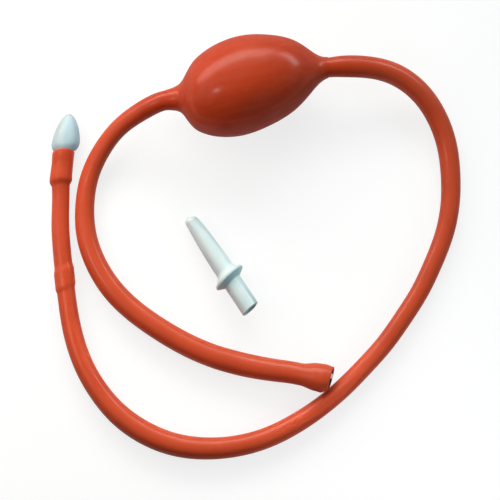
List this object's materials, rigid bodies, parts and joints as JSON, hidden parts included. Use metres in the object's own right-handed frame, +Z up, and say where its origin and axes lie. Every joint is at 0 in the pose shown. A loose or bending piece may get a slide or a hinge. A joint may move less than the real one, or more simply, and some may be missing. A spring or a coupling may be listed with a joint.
{
  "type": "enema syringe",
  "caption": "Rubber squeeze bulb between a suction hose with a flared inlet and a delivery hose with an olive nozzle; ball valves make it pump one way. A long flanged nozzle lies beside it.",
  "frame": {"origin": "centre of the small flat under the bulb, on the table that the syringe lies on", "axes": "+Z up from the table, +Y from the hoses' loop towards the bulb, +X from the suction side to the delivery side"},
  "size_m": [0.2592, 0.2629, 0.0595],
  "materials": {
    "red_rubber": "smooth moulded rubber with a soft sheen",
    "white_plastic": "moulded plastic, satin",
    "valve_steel": "plain"
  },
  "bodies": {
    "syringe": {"bulb": "red_rubber", "suction_hose": "red_rubber", "delivery_hose": "red_rubber", "inlet_guard": "white_plastic", "inlet_valve_body": "white_plastic", "inlet_valve_stop": "valve_steel", "outlet_valve_body": "white_plastic", "outlet_valve_stop": "valve_steel"},
    "crown": {"bulb_crown": "red_rubber"},
    "inlet_ball": {"inlet_valve_ball": "valve_steel"},
    "outlet_ball": {"outlet_valve_ball": "valve_steel"},
    "olive": {"olive_nozzle": "white_plastic"},
    "long_nozzle": {"long_nozzle": "white_plastic"}
  },
  "joints": [
    {"name": "bulb_squeeze", "type": "slide", "parent": "syringe", "child": "crown", "axis": [0, 0, -1], "range_m": [0, 0.024], "stiffness_N_per_m": 300},
    {"name": "inlet_ball_lift", "type": "slide", "parent": "syringe", "child": "inlet_ball", "axis": [-0.9818, 0.1293, -0.1392], "range_m": [0, 0.0016]},
    {"name": "outlet_ball_lift", "type": "slide", "parent": "syringe", "child": "outlet_ball", "axis": [-0.0958, 0.9954, 0], "range_m": [0, 0.0016]},
    {"name": "olive_pull", "type": "slide", "parent": "syringe", "child": "olive", "axis": [0.0958, 0.9948, 0.0349], "range_m": [0, 0.024], "deforming": ["delivery_hose"]},
    {"name": "long_nozzle_lift", "type": "slide", "parent": "syringe", "child": "long_nozzle", "axis": [0, 0, 1], "range_m": [0, 0.06]}
  ]
}
